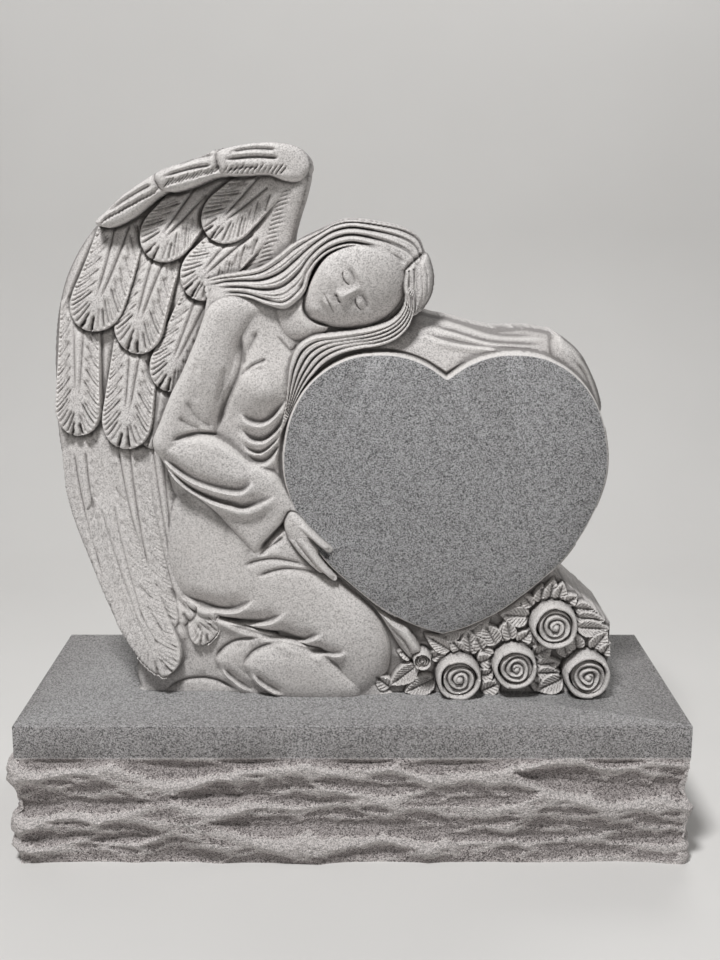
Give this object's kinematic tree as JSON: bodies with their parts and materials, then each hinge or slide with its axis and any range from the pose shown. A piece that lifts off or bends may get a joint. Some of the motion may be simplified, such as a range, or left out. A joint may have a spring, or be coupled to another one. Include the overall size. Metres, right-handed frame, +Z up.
{
  "type": "granite angel grave monument",
  "caption": "Granite monument: an angel kneels against a heart-shaped tablet with roses, on a rock-pitched base stone. Stands by its own weight.",
  "frame": {"origin": "centre of the base stone's underside", "axes": "+Z up, the carved front faces -Y, the angel is at -X and the tablet at +X"},
  "size_m": [0.936, 0.378, 0.9635],
  "materials": {
    "frosted_granite": "frosted light grey granite, the tablet's face honed darker",
    "pitched_granite": "grey granite, honed top and margin, rock-pitched sides"
  },
  "bodies": {
    "root": {"angel_heart_carving": "frosted_granite", "granite_base": "pitched_granite"}
  },
  "joints": []
}
